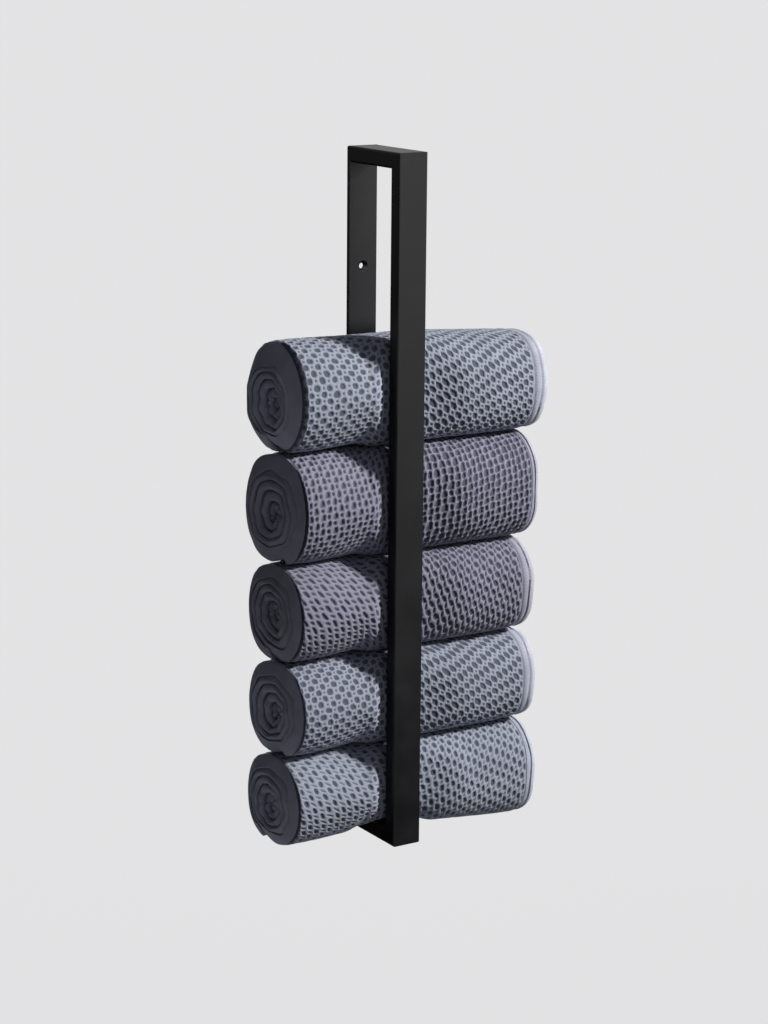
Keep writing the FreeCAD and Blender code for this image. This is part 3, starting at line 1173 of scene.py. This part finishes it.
@dataclass(frozen=True)
class Studio:
    """Plain studio: pale floor, world, lamps and the camera."""

    lamps: tuple[Lamp, ...]
    camera: Camera = Camera()
    pale: Colour = (0.775, 0.768, 0.780)  # colour of the floor and the backdrop
    ambient: Colour = (0.221, 0.228, 0.262)  # light from the bright side of the room
    dim: float = 0.03  # share of it that comes from the dark side
    bright_way: Triple = (0.6, -0.75, 0.25)  # direction to the bright side, at the front right
    ambient_span: Pair = (-0.12, 0.8)  # dot products with it on the dark and bright side
    reflected: Triple = (0.0, 1.36, 2.05)  # how bright reflections show floor, horizon and backdrop
    reflected_dim: float = 0.1  # share of the backdrop's reflection on the dark side
    reflected_span: Pair = (-0.6, 0.5)  # dot products of the reflections' dark and bright side
    horizon: Pair = (-0.16, 0.10)  # heights in which the horizon turns into the backdrop
    floor_drop: float = 0.75  # from the loop's lower end to the floor
    floor_size: float = 16.0  # side of the floor
    floor_way: Triple = (-0.1, -1.0, 0.0)  # direction from the near floor to the far one
    floor_span: Pair = (2.3, 6.2)  # distances between which the one turns into the other
    shadow_span: Pair = (0.8, 3.0)  # distances from the middle in which the floor's shadow runs out
    shadow_glow: Pair = (0.94, 1.0)  # how far the floor hides its shadow at each of them

    @staticmethod
    def seen(graph: Graph, mirrored: Socket) -> tuple[Socket, Socket]:
        """How the pale backdrop shows itself.

        Args:
            graph: the tree to build in.
            mirrored: brightness of the backdrop in reflections.

        Returns:
            1 for rays that see the backdrop and 0 for those that only light, and its brightness.
        """
        path = graph.node("ShaderNodeLightPath").outputs
        bounced = graph.math("ADD", path["Is Glossy Ray"], path["Is Transmission Ray"])
        share = graph.math("ADD", path["Is Camera Ray"], bounced, clamp=True)
        mirrored = graph.math("MULTIPLY", bounced, mirrored)
        return share, graph.math("ADD", path["Is Camera Ray"], mirrored)

    def build_floor(self) -> None:
        """Makes the floor far below the object, which hangs on a wall."""
        low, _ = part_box("front_bar")
        place = (0.0, 0.0, low.z - self.floor_drop)
        bpy.ops.mesh.primitive_plane_add(size=self.floor_size, location=place)
        floor = bpy.context.object
        floor.name = "studio_floor"
        bpy.ops.object.mode_set(mode="EDIT")
        bpy.ops.mesh.subdivide(number_cuts=3)
        bpy.ops.object.mode_set(mode="OBJECT")
        bpy.ops.object.transform_apply(location=True, rotation=True, scale=True)
        graph, material = Graph.of_material("pale_floor")
        matt = graph.node("ShaderNodeBsdfDiffuse", {"Color": self.pale}).outputs[0]
        where = graph.node("ShaderNodeTexCoord").outputs["Object"]
        ahead = graph.dot(where, self.floor_way)
        mirrored = graph.spread(ahead, self.floor_span, self.reflected[:2])
        share, strength = self.seen(graph, mirrored)
        inputs = {"Color": self.pale, "Strength": strength}
        glow = graph.node("ShaderNodeEmission", inputs).outputs[0]
        far = graph.node("ShaderNodeVectorMath", {0: where}, operation="LENGTH").outputs["Value"]
        unshaded = graph.spread(far, self.shadow_span, self.shadow_glow)
        share = graph.math("MULTIPLY", share, unshaded)
        mixed = graph.node("ShaderNodeMixShader", {0: share, 1: matt, 2: glow}).outputs[0]
        graph.node("ShaderNodeOutputMaterial", {"Surface": mixed})
        floor.data.materials.append(material)
        floor.select_set(False)

    def light_world(self) -> None:
        """Sets the light from all round, and the pale backdrop that the camera sees."""
        world = bpy.data.worlds.new("studio")
        world.use_nodes = True
        bpy.context.scene.world = world
        graph = Graph(world.node_tree)
        way = graph.node("ShaderNodeTexCoord").outputs["Generated"]
        facing = graph.dot(way, self.bright_way)
        level = graph.spread(facing, self.ambient_span, (self.dim, 1.0))
        inputs = {"Color": self.ambient, "Strength": level}
        soft = graph.node("ShaderNodeBackground", inputs).outputs[0]
        height = graph.node("ShaderNodeSeparateXYZ", {0: way}).outputs[2]
        bright = graph.spread(facing, self.reflected_span, (self.reflected_dim, 1.0))
        rising = graph.spread(height, self.horizon, self.reflected[1:])
        share, strength = self.seen(graph, graph.math("MULTIPLY", bright, rising))
        inputs = {"Color": self.pale, "Strength": strength}
        pale = graph.node("ShaderNodeBackground", inputs).outputs[0]
        mixed = graph.node("ShaderNodeMixShader", {0: share, 1: soft, 2: pale}).outputs[0]
        graph.node("ShaderNodeOutputWorld", {"Surface": mixed})

    def build(self) -> None:
        """Builds the whole studio."""
        bpy.context.scene.view_settings.view_transform = "Standard"
        self.build_floor()
        self.light_world()
        for lamp in self.lamps:
            lamp.hang()
        self.camera.set_up()


YARNS = {
    Shade.BLUE_GREY: KnitYarn("blue_grey_knit", (0.376, 0.400, 0.473), (0.112, 0.121, 0.153)),
    Shade.MAUVE: KnitYarn("mauve_knit", (0.297, 0.292, 0.367), (0.092, 0.090, 0.122)),
}
BANDS = {
    Shade.BLUE_GREY: PlainBand("blue_grey_border", (0.43, 0.448, 0.525), (0.585, 0.605, 0.68)),
    Shade.MAUVE: PlainBand("mauve_border", (0.37, 0.362, 0.435), (0.505, 0.495, 0.57)),
}
ROUND_DOT = HoleShape(0.36, 0.40, depth=0.75)
TOWELS = (
    RolledTowel(
        1, Shade.BLUE_GREY, Tuck.UNDERSIDE,
        RollForm(
            top=(0.002, -0.0065), core=(-0.004, 0.002), seam=(-0.001, 0.0004), hem=(0.008, 0.0165),
            skew=0.0135, round_off=(0.015, 0.0025), fold=0.004, stand=(0.002, 0.0015), lift=-0.003,
        ),
        KnitPattern(
            (0.0130, 0.0122), 0.0121, (0.0, 0.46), 0.0,
            (HoleShape(0.92, 1.0), HoleShape(1.12, 1.14)), (ROUND_DOT, ROUND_DOT),
        ),
    ),
    RolledTowel(
        2, Shade.MAUVE, Tuck.ROOM_SIDE,
        RollForm(
            core=(0.003, -0.004), seam=(-0.008, 0.0055), hem=(0.0038, 0.0090), skew=0.0175,
            round_off=(0.0105, 0.002), stand=(0.002, 0.001), lift=0.0005,
        ),
        KnitPattern(
            (0.0127, 0.0128), 0.0135, (-0.05, -0.21), 0.03,
            (
                HoleShape(0.88, 1.1, lean=-0.25, taper=0.3, ramp=0.6),
                HoleShape(1.06, 1.25, lean=-0.2, taper=0.25, ramp=0.35),
            ),
            (HoleShape(0.50, 0.60, depth=0.85), HoleShape(0.60, 0.80, depth=1.0)),
            depth=0.0019,
        ),
    ),
    RolledTowel(
        3, Shade.MAUVE, Tuck.UNDERSIDE,
        RollForm(
            core=(0.002, 0.003), seam=(-0.004, -0.0035), hem=(0.004, 0.0154), skew=0.0102,
            round_off=(0.009, 0.002), stand=(0.0015, 0.001), lift=0.0005,
        ),
        KnitPattern(
            (0.0142, 0.0118), 0.0134, (0.10, -0.40), 0.32,
            (HoleShape(0.54, 1.03, lean=0.2), HoleShape(0.72, 1.2, lean=0.1)),
            (
                HoleShape(0.62, 0.45, fall=0.15, depth=0.8),
                HoleShape(0.42, 0.84, lean=-0.5, depth=0.9),
            ),
            depth=0.0016,
        ),
    ),
    RolledTowel(
        4, Shade.BLUE_GREY, Tuck.ROOM_SIDE,
        RollForm(
            core=(-0.003, -0.003), seam=(-0.0055, -0.0009), hem=(0.0045, 0.0160), skew=0.0122,
            round_off=(0.0095, 0.002), stand=(0.002, 0.001), lift=0.0005,
        ),
        KnitPattern(
            (0.0125, 0.0128), 0.0116, (0.0, 0.50), 0.08,
            (HoleShape(1.0, 1.06), HoleShape(1.25, 1.25)), (ROUND_DOT, ROUND_DOT),
        ),
    ),
    RolledTowel(
        5, Shade.BLUE_GREY, Tuck.WALL_SIDE,
        RollForm(
            bottom=(0.002, -0.0102), sag=0.010, press=(0.0006, 0.0), core=(0.004, -0.004),
            seam=(0.001, 0.0034), hem=(0.0038, 0.0121), skew=0.0090,
            round_off=(0.009, 0.002), stand=(0.002, 0.0015), lift=0.0005,
        ),
        KnitPattern(
            (0.0142, 0.0114), 0.0121, (0.12, -0.44), 0.2,
            (HoleShape(0.56, 1.06, lean=0.1), HoleShape(0.7, 1.22)),
            (
                HoleShape(0.85, 0.30, fall=0.5, depth=0.7),
                HoleShape(0.6, 0.36, fall=-0.6, depth=0.7),
            ),
            depth=0.0015,
        ),
    ),
)
KEY_LAMP = Lamp(
    "key_lamp", "SPOT", (0.612, -0.612, 0.5), 2.5, 300.0,
    {"shadow_soft_size": 0.16, "spot_size": math.radians(26.0), "spot_blend": 0.25},
)
WALL_SIDE_LAMP = Lamp(
    "wall_side_lamp", "AREA", (0.48, 0.84, 0.25), 2.2, 30.0,
    {"shape": "RECTANGLE", "size": 1.2, "size_y": 1.6},
)


def main() -> None:
    """Dresses the loop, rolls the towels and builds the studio."""
    bpy.ops.object.select_all(action="DESELECT")
    effects = Effects()
    SteelLoop().dress(effects)
    yarns = {shade: finish.material(effects) for shade, finish in YARNS.items()}
    bands = {shade: finish.material(effects) for shade, finish in BANDS.items()}
    for towel in TOWELS:
        towel.dress(yarns, bands)
    Studio((KEY_LAMP, WALL_SIDE_LAMP)).build()


if __name__ == "__main__":
    main()
